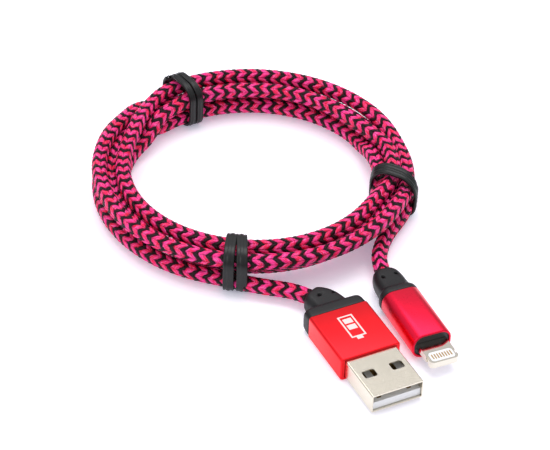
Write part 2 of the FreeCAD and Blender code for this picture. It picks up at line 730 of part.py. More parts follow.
def make_slim_plug():
    place = lay(SLIM_MOUTH, SLIM_HEADING, size("slim_sleeve_height"))
    lead, tail = cord_route("slim", SLIM_OUTSIDE, SLIM_INSIDE, SLIM_BOOT_MOUTH, place)
    print("slim lead ends at", [round(c, 2) for c in tail[0].Vertexes[0].Point])
    boot = make_boot("slim", SLIM_BOOT_MOUTH, -10, "2.4", [lead[-1]] + tail, place)
    jacket, crimp = make_cord_end("slim")
    window_back = "sizes.slim_tab_reach - sizes.slim_window_rim - sizes.slim_window_length"
    board_start = "(-sizes.slim_tab_hidden - sizes.slim_board_tail)"
    board = solid_bar("slim_plug_circuit_board", board_start, f"{window_back} - 0.1 - {board_start}",
                      "sizes.slim_board_width", "sizes.slim_board_sheet")
    chip = solid_bar("slim_plug_chip", f"{board_start} + 2.2", "sizes.slim_chip_length",
                     "sizes.slim_chip_width", "sizes.slim_chip_height", "0",
                     "(sizes.slim_board_sheet + sizes.slim_chip_height) / 2")
    collar_back = "(-sizes.slim_collar_setback - sizes.slim_collar_length - sizes.slip_clearance)"
    nodes = [
        ("slim_plug_sleeve", make_sleeve("slim")),
        ("slim_plug_boot", boot),
        ("slim_plug_collar", make_collar()),
        ("slim_plug_frame", make_slim_frame()),
        ("slim_plug_contact_block", make_contact_block()),
        ("slim_plug_contacts_top", contact_group("slim_plug_contacts_top", 1)),
        ("slim_plug_contacts_bottom", contact_group("slim_plug_contacts_bottom", -1)),
        ("slim_plug_circuit_board", board),
        ("slim_plug_chip", chip),
        ("slim_plug_inner_mould", make_moulding("slim", collar_back)),
        ("slim_plug_crimp_ring", crimp),
        ("slim_plug_jacket_end", jacket),
    ]
    from_x = size("jacket_length") - size("slim_sleeve_length")
    to_x = -size("slim_tab_hidden") - size("slim_board_tail") + 1.8
    up = (size("slim_board_sheet") + size("wire_diameter")) / 2
    ends = {"power": (-1, 1), "data_minus": (-1, -1), "data_plus": (1, -1), "ground": (1, 1)}
    for line, (side, above) in ends.items():
        wire = make_wire(f"slim_plug_wire_{line}", from_x, 0.45 * side, 0.45 * above, to_x,
                         1.5 * side, up * above)
        nodes.append((wire.Name, wire))
    placed = [(name, thing, place) for name, thing in nodes]
    here = FreeCAD.Placement()
    placed.append(("slim_plug_lead", tube("slim_plug_lead", lead, size("cord_diameter")), here))
    placed.append(("slim_plug_cord_tail", tube("slim_plug_cord_tail", tail, size("cord_diameter")), here))
    return placed


# ---------------------------------------------------------------- the whole cable

def write(nodes):
    """Places, labels, checks and exports every sub-part."""
    for name, thing, place in nodes:
        thing.Label = name
        thing.Placement = place
    doc.recompute()
    for thing in doc.Objects:
        if any(word in thing.State for word in ("Invalid", "Error")):
            raise RuntimeError(f"{thing.Name} is {thing.State}")
    os.makedirs("parts", exist_ok=True)
    for name, thing, place in nodes:
        shape = thing.Shape
        if shape.isNull() or not shape.isValid():
            raise RuntimeError(f"{name} has no valid shape")
        shape.exportStep(f"parts/{name}.step")
        box = shape.BoundBox
        print(f"{name:32s} {len(shape.Solids):2d} {shape.Volume:9.2f} "
              f"x {box.XMin:7.2f} {box.XMax:7.2f} y {box.YMin:7.2f} {box.YMax:7.2f} "
              f"z {box.ZMin:6.2f} {box.ZMax:6.2f}")


def build():
    nodes = make_wide_plug() + make_slim_plug()
    leads = [thing for name, thing, _ in nodes if name.endswith("_lead")]
    nodes.append(("cord_coil", make_coil(leads), FreeCAD.Placement()))
    for name, degrees in TIES.items():
        nodes += make_tie(name, degrees)
    write(nodes)
    print(len(nodes), "sub-parts")


build()
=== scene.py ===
# %% [markdown]
# # A braided charging cable, coiled and tied
#
# The cable is one length of round cord in a zigzag braid, with a wide flat plug on one end and a slim
# reversible plug on the other. It is wound into a coil of nearly five turns, and three twist ties hold
# the coil. This lesson builds its looks piece by piece on top of the engineering model, in the same
# frame: the origin is the middle of the coil on the table, and +Z is up. Sizes are written in
# millimetres and turned into metres in one place.

import bmesh
import bpy
import math
import numpy as np
from mathutils import Matrix, Vector


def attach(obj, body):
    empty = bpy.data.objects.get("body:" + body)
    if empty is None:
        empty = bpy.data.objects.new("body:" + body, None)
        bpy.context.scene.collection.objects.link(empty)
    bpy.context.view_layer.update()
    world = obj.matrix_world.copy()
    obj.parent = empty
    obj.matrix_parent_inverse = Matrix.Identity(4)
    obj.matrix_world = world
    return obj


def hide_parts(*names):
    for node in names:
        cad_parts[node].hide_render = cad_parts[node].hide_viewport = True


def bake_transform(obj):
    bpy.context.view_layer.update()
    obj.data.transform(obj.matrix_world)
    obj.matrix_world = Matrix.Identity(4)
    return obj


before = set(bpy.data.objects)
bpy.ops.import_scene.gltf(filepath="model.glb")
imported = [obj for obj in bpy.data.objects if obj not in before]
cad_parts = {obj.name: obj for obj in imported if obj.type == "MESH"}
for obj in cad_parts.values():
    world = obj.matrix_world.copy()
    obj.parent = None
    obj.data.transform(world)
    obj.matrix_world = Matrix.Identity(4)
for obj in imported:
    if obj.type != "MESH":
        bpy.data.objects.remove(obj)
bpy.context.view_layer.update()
MM = 0.001

# %% [markdown]
# ## Where things lie
#
# Each plug has a frame of its own: +X towards the tip, +Y across, origin at the mouth of its sleeve,
# half way up. `Plug.out` takes points from there to the table.

# %%


class Plug:
    def __init__(self, mouth, heading, height):
        a = math.radians(heading)
        self.along = np.array([math.cos(a), math.sin(a), 0])
        self.across = np.array([-math.sin(a), math.cos(a), 0])
        self.origin = np.array([mouth[0], mouth[1], height / 2])

    def out(self, points):
        p = np.atleast_2d(np.array(points, float))
        up = np.array([0, 0, 1])
        return self.origin + p[:, :1] * self.along + p[:, 1:2] * self.across + p[:, 2:3] * up


WIDE_HEIGHT = 5.8
SLIM_HEIGHT = 6.2
WIDE = Plug((26.54, -60.70), -62.65, WIDE_HEIGHT)
SLIM = Plug((39.60, -54.70), -65.70, SLIM_HEIGHT)

# %% [markdown]
# ## Small tools for meshes
#
# `mesh_piece` makes an object from points in millimetres. `loft` joins rings of points into a skin,
# and `rounded` gives a rounded rectangle as such a ring. With these, every moulded and pressed piece of
# the plugs is a short list of sections.

# %%


def mesh_piece(name, points, faces, sharp=35, uv=None):
    """An object from points in millimetres; edges that turn more than `sharp` degrees stay sharp."""
    mesh = bpy.data.meshes.new(name)
    mesh.from_pydata((np.array(points) * MM).tolist(), [], [list(f) for f in faces])
    if uv is not None:
        layer = mesh.uv_layers.new(name="UVMap")
        layer.data.foreach_set("uv", np.array(uv, np.float32).ravel())
    mesh.shade_smooth()
    mesh.set_sharp_from_angle(angle=math.radians(sharp))
    piece = bpy.data.objects.new(name, mesh)
    bpy.context.scene.collection.objects.link(piece)
    return piece


def rounded(width, height, radius, steps=6):
    """A rounded rectangle, anticlockwise, as (y, z) pairs."""
    ring = []
    for corner in range(4):
        a0 = math.pi / 2 * corner
        sy = 1 if corner in (0, 3) else -1
        sz = 1 if corner in (0, 1) else -1
        cy, cz = sy * (width / 2 - radius), sz * (height / 2 - radius)
        for k in range(steps + 1):
            a = a0 + math.pi / 2 * k / steps
            ring.append((cy + radius * math.cos(a), cz + radius * math.sin(a)))
    return np.array(ring)


def section(x, width, height, radius, y=0.0, z=0.0, turn=0.0, steps=6):
    """A rounded rectangle standing across a plug at x, turned about the vertical."""
    ring = rounded(width, height, radius, steps)
    a = math.radians(turn)
    return np.stack([x - ring[:, 0] * math.sin(a), y + ring[:, 0] * math.cos(a), z + ring[:, 1]], axis=1)


def ring_faces(rings, count, closed):
    """The four-sided faces between neighbouring rings."""
    faces = []
    for r in range(rings if closed else rings - 1):
        n = (r + 1) % rings
        for k in range(count):
            m = (k + 1) % count
            faces.append((r * count + k, r * count + m, n * count + m, n * count + k))
    return faces


def loft(name, sections, closed=False, sharp=35):
    """A skin over rings of points, with flat ends, or closed on itself like a drawn tube."""
    count = len(sections[0])
    faces = ring_faces(len(sections), count, closed)
    if not closed:
        faces.append(tuple(range(count))[::-1])
        last = (len(sections) - 1) * count
        faces.append(tuple(range(last, last + count)))
    piece = mesh_piece(name, np.concatenate(sections), faces, sharp)
    tidy_normals(piece)
    return piece


def tidy_normals(piece):
    work = bmesh.new()
    work.from_mesh(piece.data)
    bmesh.ops.recalc_face_normals(work, faces=work.faces)
    work.to_mesh(piece.data)
    work.free()


def carve(piece, *tools):
    """Cuts closed meshes out of a piece and throws them away."""
    for tool in tools:
        cutter = piece.modifiers.new("carve", "BOOLEAN")
        cutter.object = tool
        cutter.solver = "EXACT"
    bpy.context.view_layer.update()
    deps = bpy.context.evaluated_depsgraph_get()
    mesh = bpy.data.meshes.new_from_object(piece.evaluated_get(deps))
    piece.modifiers.clear()
    piece.data = mesh
    for tool in tools:
        bpy.data.objects.remove(tool)


# %% [markdown]
# ## Small tools for materials
#
# Every material is a node tree. `Paint` wraps one, so that a line of arithmetic on textures is a line
# of Python. `worn` is the plain recipe: a base colour that wanders a little, a roughness that wanders
# with it, and a fine bump.

# %%


class Paint:
    def __init__(self, name):
        self.material = bpy.data.materials.new(name)
        self.material.use_nodes = True
        self.nodes = self.material.node_tree.nodes
        self.links = self.material.node_tree.links
        self.shader = self.nodes["Principled BSDF"]

    def node(self, kind, **values):
        made = self.nodes.new(kind)
        for key, value in values.items():
            setattr(made, key, value)
        return made

    def put(self, socket, value):
        if isinstance(value, bpy.types.NodeSocket):
            self.links.new(value, socket)
        elif isinstance(value, (tuple, list)) and len(value) == 3 and len(socket.default_value) == 4:
            socket.default_value = (*value, 1)
        else:
            socket.default_value = value

    def math(self, operation, a, b=0.0, c=0.0):
        made = self.node("ShaderNodeMath", operation=operation)
        for socket, value in zip(made.inputs, (a, b, c)):
            self.put(socket, value)
        return made.outputs[0]

    def mix(self, share, a, b):
        made = self.node("ShaderNodeMix", data_type="RGBA")
        self.put(made.inputs["Factor"], share)
        self.put(made.inputs[6], a)
        self.put(made.inputs[7], b)
        return made.outputs[2]

    def ramp(self, value, low, high, out_low=0.0, out_high=1.0):
        made = self.node("ShaderNodeMapRange")
        for key, item in zip(("Value", "From Min", "From Max", "To Min", "To Max"),
                             (value, low, high, out_low, out_high)):
            self.put(made.inputs[key], item)
        return made.outputs[0]

    def noise(self, scale, detail=3.0, coordinates=None):
        if coordinates is None:
            coordinates = self.node("ShaderNodeTexCoord").outputs["Object"]
        made = self.node("ShaderNodeTexNoise")
        self.put(made.inputs["Vector"], coordinates)
        self.put(made.inputs["Scale"], scale)
        self.put(made.inputs["Detail"], detail)
        return made.outputs["Fac"]

    def bump(self, height, depth_mm, strength):
        made = self.node("ShaderNodeBump")
        self.put(made.inputs["Height"], height)
        made.inputs["Distance"].default_value = depth_mm * MM
        made.inputs["Strength"].default_value = strength
        self.put(self.shader.inputs["Normal"], made.outputs[0])

    def set(self, **values):
        for key, value in values.items():
            self.put(self.shader.inputs[key.replace("_", " ")], value)
        return self.material


def worn(name, colour, roughness, metallic=0.0, grain=900, wander=0.12, depth=0.01, **more):
    """A plain finish: `grain` is the fineness of its texture, `depth` its height in millimetres."""
    paint = Paint(name)
    slow = paint.noise(grain / 12)
    fine = paint.noise(grain)
    dark = tuple(c * (1 - wander) for c in colour)
    light = tuple(min(1.0, c * (1 + wander)) for c in colour)
    paint.set(Base_Color=paint.mix(slow, dark, light), Metallic=metallic,
              Roughness=paint.ramp(fine, 0.2, 0.8, roughness - 0.05, roughness + 0.07), **more)
    paint.bump(fine, depth, 0.6)
    return paint.material


def wear(piece, material, body):
    """Gives a rigid piece its material and the body it rides on."""
    piece.data.materials.append(material)
    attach(piece, body)


def wear_cad(node, material):
    """A new material on an engineering solid whose shape is already right."""
    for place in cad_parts[node].material_slots:
        place.material = material


# %% [markdown]
# ## The braid
#
# The jacket is braided from pink and charcoal yarn. On the surface the yarns show as short floats in
# eight columns round the cord, leaning left in one column and right in the next, so the colours run
# round as zigzags. The pattern needs two numbers at each point of the surface: how far round it is
# (`u`, 0 to 1) and how far along the cord it is (`v`, in millimetres). A triangle wave of `u` bends the
# stripes into zigzags. Each float is high in its middle and dives at its ends, and fine lines along it
# are its filaments. The colour carries painted light: painted highlights along the filaments, and
# painted shade where the yarn sinks between floats and between filaments.

# %%
BRAID_PERIOD = 2.85  # from one pink float to the next, along the cord
BRAID_LEAN = 0.49  # how far a float leans across its column, in periods
PINK_SHARE = 0.66
COLUMNS = 8
UNEVENNESS = 0.42
YARN_DEPTH = 0.34
FILAMENTS_ALONG, FILAMENTS_ROUND = 16.0, 10.0
# The glint colours are painted highlights on the yarn.
HOT_PINK, SOFT_PINK, PINK_GLINT = (0.90, 0.004, 0.055), (1.0, 0.030, 0.27), (1.0, 0.20, 0.58)
CHARCOAL, CHARCOAL_GLINT = (0.010, 0.002, 0.003), (0.036, 0.014, 0.018)
# Painted shade for the crevices between floats, on charcoal and on pink.
DARK_CREVICE_SHADE, PINK_CREVICE_SHADE = (0.006, 0.002, 0.003), (0.06, 0.0, 0.003)


def braid_relief(u, v):
    """Height of the braid, 0 in its crevices to 1 on top of a float, for the mesh."""
    leg = 1 - np.abs((u * COLUMNS) % 2 - 1)
    across = (v / BRAID_PERIOD - BRAID_LEAN * leg) % 1
    stripe = np.where(across < PINK_SHARE, across / PINK_SHARE, (across - PINK_SHARE) / (1 - PINK_SHARE))
    crest = np.sin(np.pi * stripe) ** 0.6
    dive = 1 - np.abs(2 * leg - 1) ** 3
    return crest * (0.55 + 0.45 * dive)


def braid_material():
    """The same pattern as a node tree: colour, with painted highlights on the filaments and painted shade
    in the crevices, and the bump of yarns and filaments.
    """
    paint = Paint("zigzag_braid")
    uv = paint.node("ShaderNodeUVMap", uv_map="UVMap").outputs[0]
    split = paint.node("ShaderNodeSeparateXYZ")
    paint.put(split.inputs[0], uv)
    u, v = split.outputs[0], split.outputs[1]
    wobble = paint.noise(1100.0)
    leg = paint.math("PINGPONG", paint.math("MULTIPLY", u, COLUMNS), 1.0)
    phase = paint.math("MULTIPLY_ADD", leg, -BRAID_LEAN, paint.math("DIVIDE", v, BRAID_PERIOD))
    uneven = paint.math("MULTIPLY", paint.math("SUBTRACT", wobble, 0.5), UNEVENNESS)
    phase = paint.math("ADD", phase, uneven)
    across = paint.math("FRACT", phase)
    is_pink = paint.math("LESS_THAN", across, PINK_SHARE)
    pink_x = paint.math("DIVIDE", across, PINK_SHARE)
    dark_x = paint.math("DIVIDE", paint.math("SUBTRACT", across, PINK_SHARE), 1 - PINK_SHARE)
    stripe = paint.math("ADD", paint.math("MULTIPLY", pink_x, is_pink),
                        paint.math("MULTIPLY", dark_x, paint.math("SUBTRACT", 1.0, is_pink)))
    crest = paint.math("POWER", paint.math("SINE", paint.math("MULTIPLY", stripe, math.pi)), 0.6)
    edge = paint.math("ABSOLUTE", paint.math("MULTIPLY_ADD", leg, 2.0, -1.0))
    dive = paint.math("SUBTRACT", 1.0, paint.math("POWER", edge, 4.0))
    height = paint.math("MULTIPLY", crest, paint.math("MULTIPLY_ADD", dive, 0.60, 0.40))
    streak_place = paint.node("ShaderNodeCombineXYZ")
    paint.put(streak_place.inputs[0], paint.math("MULTIPLY", phase, FILAMENTS_ALONG))
    paint.put(streak_place.inputs[1], paint.math("MULTIPLY", u, FILAMENTS_ROUND))
    filament_relief_and_glints = paint.noise(1.0, detail=1.0, coordinates=streak_place.outputs[0])
    relief = paint.math("MULTIPLY_ADD", filament_relief_and_glints, 0.35, height)
    patch = paint.noise(500.0)
    pink = paint.mix(paint.ramp(patch, 0.40, 0.62), HOT_PINK, SOFT_PINK)
    # Painted highlights: a lighter glint colour along the filament streaks, on pink and on charcoal yarn.
    pink = paint.mix(paint.ramp(filament_relief_and_glints, 0.50, 0.68, 0.0, 0.8), pink, PINK_GLINT)
    dark = paint.mix(paint.ramp(filament_relief_and_glints, 0.45, 0.7), CHARCOAL, CHARCOAL_GLINT)
    yarn = paint.mix(is_pink, dark, pink)
    # Painted shade: where the yarn sinks, in the crevices between floats and between filaments, the colour
    # goes to a dark crevice shade.
    shade = paint.ramp(paint.math("MULTIPLY", height, paint.ramp(filament_relief_and_glints, 0.35, 0.5, 0.75, 1.0)), 0.18, 0.58)
    crevice_shade = paint.mix(is_pink, DARK_CREVICE_SHADE, PINK_CREVICE_SHADE)
    paint.set(Base_Color=paint.mix(shade, crevice_shade, yarn), Roughness=0.45, Specular_IOR_Level=0.20)
    paint.bump(relief, YARN_DEPTH, 1.0)
    return paint.material


BRAID = braid_material()

# %% [markdown]
# ## The route of the cord
#
# The cord is one smooth curve, from the boot of the wide plug, nearly five times round, and to the
# boot of the slim plug. In the coil five strands lie as a quincunx: three below and beside, two on top.
# Every turn, each strand moves on by one place in the ring of places, mostly on the far left, and
# that is how a hand-wound coil comes out as even as this one. Where strands pass each other they are
# pushed apart until they lie side by side.

# %%
CORD_D = 3.6
COIL_R = 32.7
OFFSET = 2.55
COIL_Z = 2.70
STEP = 10.0  # degrees from one point of the coil to the next
FRONT_ANGLE = -95.0  # where the front tie holds the coil
FIRST_ANGLE = -100.0
TURNS_ANGLE = 1700.0
CHANGE_START, CHANGE_SPAN = 95.0, 55.0  # each turn, a strand changes places over this stretch
SWAP_MIDDLE, SWAP_SPAN = 258.0, 22.0  # and is half way to the next place over this one
JITTER = 0.06
PUSHES = 200  # rounds of pushing strands apart
BACK = 1.0  # the coil is this much wider at the back
PLACES = [(1, 0), (0, 1), (-0.95, 0), (-1.10, 1.87), (1, 2), (1, 0)]

WIDE_LEAD = [(16.08, -42.24, 2.90), (12.35, -39.72, 2.90), (8.99, -38.43, 2.85), (4.80, -37.70, 2.80),
             (0.30, -36.75, 2.80)]
SLIM_LEAD = [(35.30, -7.60, 2.80), (33.50, -12.20, 2.80), (31.20, -16.60, 2.80), (29.60, -21.20, 2.80),
             (28.80, -25.80, 2.85), (29.29, -30.24, 3.00), (30.36, -34.40, 3.10)]


def place_in_bundle(q):
    """Where a strand lies across the bundle, q places along the ring of places."""
    low = min(int(q), len(PLACES) - 2)
    share = q - low
    a, b = np.array(PLACES[low], float), np.array(PLACES[low + 1], float)
    return (a + (b - a) * share) * OFFSET


def moved_on(turned):
    """How many places a strand has moved after turning this far, in degrees."""
    full, rest = divmod(turned, 360.0)
    share = min(1.0, max(0.0, (rest - CHANGE_START) / CHANGE_SPAN))
    half_way = 0.5 * math.exp(-(((rest - SWAP_MIDDLE) / SWAP_SPAN) ** 4))
    return full + share * share * (3 - 2 * share) + half_way


def stations():
    """Each strand's place across the bundle at each step round the coil."""
    count = int(TURNS_ANGLE / STEP) + 1
    turned = [k * STEP + (FRONT_ANGLE - FIRST_ANGLE) for k in range(count)]
    spots = np.array([place_in_bundle(min(moved_on(t), len(PLACES) - 1.0)) for t in turned])
    for k in range(count):
        spots[k] += JITTER * np.array([math.sin(0.9 * k + 1.0), 0.6 * math.cos(0.7 * k)]) * min(1, k / 4)
    per_turn = int(360 / STEP)
    for _ in range(PUSHES):
        for k in range(count):
            for other in range(k + per_turn, count, per_turn):
                gap = spots[other] - spots[k]
                reach = float(np.hypot(*gap))
                if reach < CORD_D:
                    push = gap / max(reach, 0.01) * (CORD_D - reach) / 2
                    spots[k] -= push
                    spots[other] += push
        spots[:, 1] = np.maximum(spots[:, 1], 0.0)
    return turned, spots


def coil_radius(angle):
    """Radius of the coil's middle line at an angle round it, in radians."""
    return COIL_R + BACK * max(0.0, math.sin(angle)) ** 2


def cord_points():
    """The whole route: the wide plug's lead, the coil, and the slim plug's lead."""
    turned, spots = stations()
    wider = 1 / math.cos(math.radians(STEP / 2))
    points = list(WIDE_LEAD)
    for t, (out, up) in zip(turned, spots):
        a = math.radians(FRONT_ANGLE - t)
        r = (coil_radius(a) + out) * wider
        points.append((r * math.cos(a), r * math.sin(a), COIL_Z + up))
    return points + SLIM_LEAD


def line_of(name, points):
    """The smooth line through a route, as points read from its NURBS curve."""
    curve = bpy.data.curves.new(name, "CURVE")
    curve.dimensions = "3D"
    curve.resolution_u = 10
    spline = curve.splines.new("NURBS")
    spline.points.add(len(points) - 1)
    for point, place in zip(spline.points, points):
        point.co = (*[c * MM for c in place], 1)
    spline.order_u = 3
    spline.use_endpoint_u = True
    holder = bpy.data.objects.new(name, curve)
    mesh = bpy.data.meshes.new_from_object(holder)
    line = np.array([v.co[:] for v in mesh.vertices]) / MM
    bpy.data.objects.remove(holder)
    bpy.data.curves.remove(curve)
    bpy.data.meshes.remove(mesh)
    return line


def even(line, pitch):
    """The same line in even steps of about this length, and how far along each point is."""
    steps = np.linalg.norm(np.diff(line, axis=0), axis=1)
    keep = np.concatenate([[True], steps > 1e-6])
    line = line[keep]
    along = np.concatenate([[0], np.cumsum(np.linalg.norm(np.diff(line, axis=0), axis=1))])
    marks = np.linspace(0, along[-1], int(along[-1] / pitch) + 1)
    return np.stack([np.interp(marks, along, line[:, c]) for c in range(3)], axis=1), marks


def carried_frames(line):
    """A side and an up direction at each point, carried along the line without twisting."""
    ahead = np.gradient(line, axis=0)
    ahead /= np.linalg.norm(ahead, axis=1)[:, None]
    side = np.cross(ahead[0], [0, 0, 1.0])
    sides = []
    for way in ahead:
        side = side - way * side.dot(way)
        side = side / np.linalg.norm(side)
        sides.append(side)
    sides = np.array(sides)
    return sides, np.cross(sides, ahead)


def braided_tube(name, line, around=24, pitch=0.35, relief=0.20):
    """A tube along a line, its surface raised and sunk by the braid."""
    line, v = even(line, pitch)
    sides, ups = carried_frames(line)
    drift = 0.06 * np.sin(v / 47.0) + 0.05 * np.sin(v / 19.0 + 1.0)
    u = np.arange(around) / around
    angle = 2 * np.pi * (u[None, :] + drift[:, None])
    radius = CORD_D / 2 - relief * (1 - braid_relief(u[None, :], v[:, None])) + 0.02
    points = (line[:, None, :] + radius[:, :, None] * (np.cos(angle)[:, :, None] * sides[:, None, :]
              + np.sin(angle)[:, :, None] * ups[:, None, :])).reshape(-1, 3)
    rows = len(line)
    i, k = np.meshgrid(np.arange(rows - 1), np.arange(around), indexing="ij")
    m = (k + 1) % around
    faces = np.stack([i * around + k, (i + 1) * around + k, (i + 1) * around + m, i * around + m],
                     axis=-1).reshape(-1, 4)
    u0, u1 = k / around, (k + 1) / around
    v0, v1 = v[i], v[i + 1]
    uv = np.stack([np.stack([u0, v0], -1), np.stack([u0, v1], -1), np.stack([u1, v1], -1),
                   np.stack([u1, v0], -1)], axis=2).reshape(-1, 2)
    piece = mesh_piece(name, points, faces.tolist(), 180, uv)
    return piece, line


cord_line = line_of("cord_route", cord_points())
cord_length = float(np.sum(np.linalg.norm(np.diff(cord_line, axis=0), axis=1)))
print("cord", round(cord_length, 1), "mm long")
cord_piece, cord_path = braided_tube("braided_cord", cord_line)
wear(cord_piece, BRAID, "cord")
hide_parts("cord_coil", "wide_plug_lead", "slim_plug_lead")
print("cord mesh", len(cord_piece.data.polygons), "faces")

# %% [markdown]
# ## The tails inside the boots
#
# The same cord goes on inside each boot.


def tail(name, plug, inside, node):
    """The short stretch of cord inside a boot, through these points of the plug's frame."""
    line = line_of(name, [tuple(p) for p in plug.out(inside)])
    piece, _ = braided_tube(name, line)
    piece.data.materials.append(BRAID)
    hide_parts(node)
    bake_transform(piece)


tail("wide_tail", WIDE, [(-21.4, -0.92, 0), (-19.6, -0.25, 0), (-18.0, 0, 0), (-14.95, 0, 0)],
     "wide_plug_cord_tail")
tail("slim_tail", SLIM, [(-22.5, 0.12, 0), (-21.0, 0, 0), (-18.0, 0, 0), (-15.45, 0, 0)],
     "slim_plug_cord_tail")

# %% [markdown]
# ## Red metal sleeves
#
# Each sleeve is a drawn aluminium tube, anodised red. The wide one has flat sides and small corners;
# the slim one has almost round sides. Both have a narrow turned edge at the mouth that catches the
# light.

# %%
SHARPEST = 0.15  # no corner of a sleeve is sharper than this radius
RED = worn("red_anodised", (0.92, 0.016, 0.024), 0.34, metallic=0.9, grain=2500, wander=0.04, depth=0.001)
PINK_RED = worn("pink_red_anodised", (0.90, 0.014, 0.052), 0.30, metallic=0.95, grain=2500, wander=0.04,
                depth=0.001)


def sleeve(name, plug, length, width, height, corner, side, wall, paint, body):
    """A tube with a rounded section; `side` and `wall` are its thickness at the sides and at top."""

    def ring(x, inset):
        radius = max(SHARPEST, corner - inset)
        return plug.out(section(x, width - 2 * inset, height - 2 * inset, radius, steps=8))

    def bore(x, more):
        across, up = width - 2 * side + 2 * more, height - 2 * wall + 2 * more
        return plug.out(section(x, across, up, max(SHARPEST, corner - wall), steps=8))

    rings = [ring(-length, 0.12), ring(-length + 0.04, 0.03), ring(-length + 0.15, 0.0), ring(-0.26, 0.0),
             ring(-0.20, 0.02), ring(-0.05, 0.12), ring(0.0, 0.20), bore(0.0, 0.08), bore(-0.1, 0.0),
             bore(-length, 0.0)]
    piece = loft(name, rings, closed=True, sharp=28)
    wear(piece, paint, body)
    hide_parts(f"{body}_sleeve")


sleeve("wide_sleeve", WIDE, length=14.9, width=14.0, height=WIDE_HEIGHT, corner=0.7, side=0.95, wall=0.6,
       paint=RED, body="wide_plug")
sleeve("slim_sleeve", SLIM, length=15.4, width=9.1, height=SLIM_HEIGHT, corner=2.6, side=0.5, wall=0.5,
       paint=PINK_RED, body="slim_plug")

# %% [markdown]
# ## Black boots
#
# A boot is one soft moulding: an end cap that closes the back of the sleeve, and a neck that bends
# with the cord. Two small relief holes show on top of the neck, where the mould's pins held the cord.

# %%
BLACK = worn("black_soft_plastic", (0.008, 0.008, 0.009), 0.42, grain=1500, wander=0.2, depth=0.004,
             Specular_IOR_Level=0.32)


HOLE_RADIUS, HOLE_DEPTH = 0.45, 1.1


def hole_cutter(place):
    """A short upright rod with its middle at this place, to cut one relief hole."""
    around = np.linspace(0, 2 * math.pi, 17)[:-1]
    rings = []
    for z in (-HOLE_DEPTH, HOLE_DEPTH):
        ring = [(HOLE_RADIUS * math.cos(a), HOLE_RADIUS * math.sin(a), z) for a in around]
        rings.append(np.array(ring) + place)
    return loft("cutter", rings)


def boot(name, plug, rings, holes, node):
    """A soft moulding over a list of sections, with its relief holes."""
    piece = loft(name, [plug.out(section(*ring, steps=8)) for ring in rings], sharp=50)
    smooth = piece.modifiers.new("smooth", "SUBSURF")
    smooth.levels = smooth.render_levels = 1
    carve(piece, *[hole_cutter(plug.out([h])[0]) for h in holes])
    piece.data.materials.append(BLACK)
    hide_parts(node)
    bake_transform(piece)


# Sections from the sleeve to the cord: x, width, height, corner radius, across, up, turn in degrees.
WIDE_BOOT = [
    (-14.92, 13.5, 5.3, 0.9), (-15.0, 13.9, 5.7, 1.0), (-15.3, 14.0, 5.8, 1.2), (-17.2, 14.0, 5.8, 1.5),
    (-17.6, 13.8, 5.6, 1.6), (-17.85, 13.2, 5.2, 1.7), (-17.95, 9.4, 5.0, 1.9), (-18.1, 8.5, 4.95, 1.9),
    (-19.3, 8.0, 4.9, 1.8, -0.15, 0, 5), (-20.8, 7.7, 4.9, 1.8, -0.55, 0, 13),
    (-22.1, 7.0, 4.9, 1.8, -1.25, 0, 20), (-23.1, 5.9, 4.8, 1.9, -1.85, 0, 25),
    (-23.45, 5.3, 4.6, 1.9, -2.02, 0, 26), (-23.6, 4.3, 4.0, 1.9, -2.1, 0, 27),
]
SLIM_BOOT = [
    (-15.42, 8.7, 5.8, 2.4), (-15.5, 9.0, 6.1, 2.5), (-15.7, 9.1, 6.2, 2.6), (-16.6, 9.1, 6.2, 2.6),
    (-17.0, 8.9, 6.0, 2.5), (-17.3, 8.5, 5.8, 2.4), (-17.5, 7.6, 5.4, 2.1), (-18.0, 7.3, 5.2, 2.0),
    (-19.5, 7.1, 5.0, 1.9), (-21.4, 7.0, 4.9, 1.9, 0.05, 0, -3), (-22.8, 6.5, 4.85, 1.9, 0.18, 0, -6),
    (-23.8, 5.8, 4.7, 1.9, 0.30, 0, -8), (-24.15, 5.1, 4.5, 1.9, 0.35, 0, -9),
    (-24.35, 4.2, 4.0, 1.9, 0.38, 0, -10),
]
boot("wide_boot", WIDE, WIDE_BOOT, [(-21.2, -1.25, 2.45), (-20.9, 2.0, 2.35)],
     "wide_plug_boot")
boot("slim_boot", SLIM, SLIM_BOOT, [(-21.3, -1.5, 2.45), (-21.5, 1.7, 2.35)],
     "slim_plug_boot")

# %% [markdown]
# ## Metal and plastic of the plugs
#
# The plated shell, the steel tab and everything inside keep their engineering solids. They get small
# bevels where light should catch, and materials: warm nickel, polished steel, white mouldings, gold
# contacts, and the plain plastics of the wires.

# %%
NICKEL = worn("nickel_plate", (0.74, 0.69, 0.58), 0.22, metallic=1.0, grain=2200, wander=0.03, depth=0.0006)
POLISHED = worn("polished_steel", (0.72, 0.68, 0.59), 0.10, metallic=1.0, grain=2200, wander=0.03,
                depth=0.0004)
WHITE = worn("white_moulding", (0.86, 0.87, 0.87), 0.35, grain=800, wander=0.03, depth=0.003)
GOLD = worn("gold_contact", (0.46, 0.31, 0.14), 0.28, metallic=1.0, grain=4000, wander=0.08, depth=0.002)
COLLAR = worn("black_collar", (0.012, 0.013, 0.015), 0.38, grain=1800, wander=0.2, depth=0.004)
STEEL = worn("steel_wire", (0.45, 0.45, 0.46), 0.4, metallic=1.0, grain=3000, wander=0.15, depth=0.004)
MOULD = worn("inner_mould", (0.62, 0.60, 0.54), 0.55, grain=900, wander=0.08, depth=0.008)
BOARD = worn("board_lacquer", (0.02, 0.16, 0.06), 0.3, grain=1400, wander=0.2, depth=0.004)
CHIP = worn("chip_body", (0.03, 0.03, 0.032), 0.55, grain=3000, wander=0.25, depth=0.006)
JACKET = worn("inner_jacket", (0.72, 0.72, 0.72), 0.5, grain=900, wander=0.06, depth=0.008)
